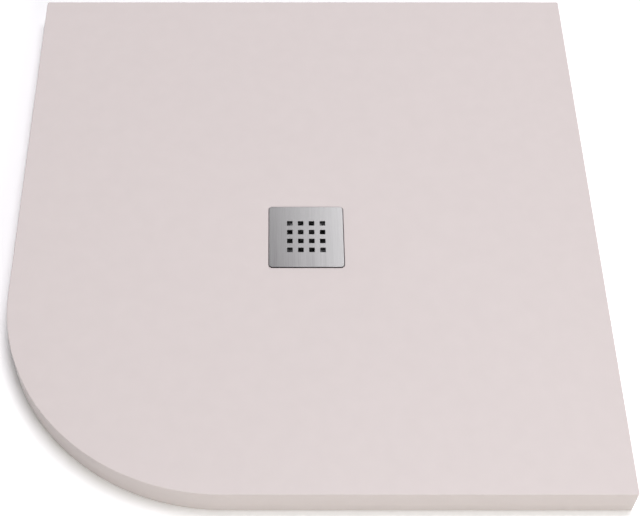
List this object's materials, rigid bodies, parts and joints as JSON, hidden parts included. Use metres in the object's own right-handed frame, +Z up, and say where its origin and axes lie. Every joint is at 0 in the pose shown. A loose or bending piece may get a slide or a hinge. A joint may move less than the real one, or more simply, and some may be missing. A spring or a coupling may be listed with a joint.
{
  "type": "shower tray",
  "caption": "Low shower tray in cast resin with a large rounded front corner, a gentle fall to a square steel drain cover, and a compact bell-trap waste inside its thickness.",
  "frame": {"origin": "on the floor, in the middle of the tray's outline", "axes": "+X to the tray's right-hand side, +Y to its back, +Z up; the large rounded corner is at the front left"},
  "size_m": [0.9, 0.95, 0.05],
  "materials": {
    "cast_resin": "matt, very fine grain",
    "brushed_stainless": "brushed front to back",
    "plain_stainless": "plain, satin",
    "insert_brass": "machined",
    "black_rubber": "matt",
    "grey_rubber": "matt",
    "dark_plastic": "fine moulded grain",
    "grey_plastic": "fine moulded grain"
  },
  "bodies": {
    "tray": {"tray_slab": "cast_resin", "clamp_flange": "plain_stainless", "flange_gasket": "black_rubber", "flange_screws": "plain_stainless", "screw_inserts": "insert_brass", "collar_gasket": "black_rubber", "waste_body": "grey_plastic", "outlet_standpipe": "grey_plastic", "outlet_seal": "black_rubber", "seal_retainer": "grey_plastic"},
    "cover": {"drain_cover": "brushed_stainless", "cover_studs": "plain_stainless", "cover_foot_front_left": "grey_rubber", "cover_foot_front_right": "grey_rubber", "cover_foot_back_left": "grey_rubber", "cover_foot_back_right": "grey_rubber"},
    "basket": {"strainer_basket": "dark_plastic"},
    "bell": {"trap_bell": "dark_plastic"}
  },
  "joints": [
    {"name": "cover_lift", "type": "slide", "parent": "tray", "child": "cover", "axis": [0, 0, 1], "range_m": [0, 0.09]},
    {"name": "basket_lift", "type": "slide", "parent": "tray", "child": "basket", "axis": [0, 0, 1], "range_m": [0, 0.063]},
    {"name": "bell_lift", "type": "slide", "parent": "tray", "child": "bell", "axis": [0, 0, 1], "range_m": [0, 0.045]}
  ],
  "couplings": [
    {"joint": "basket_lift", "follows": "cover_lift", "ratio": 0.7},
    {"joint": "bell_lift", "follows": "cover_lift", "ratio": 0.5}
  ]
}
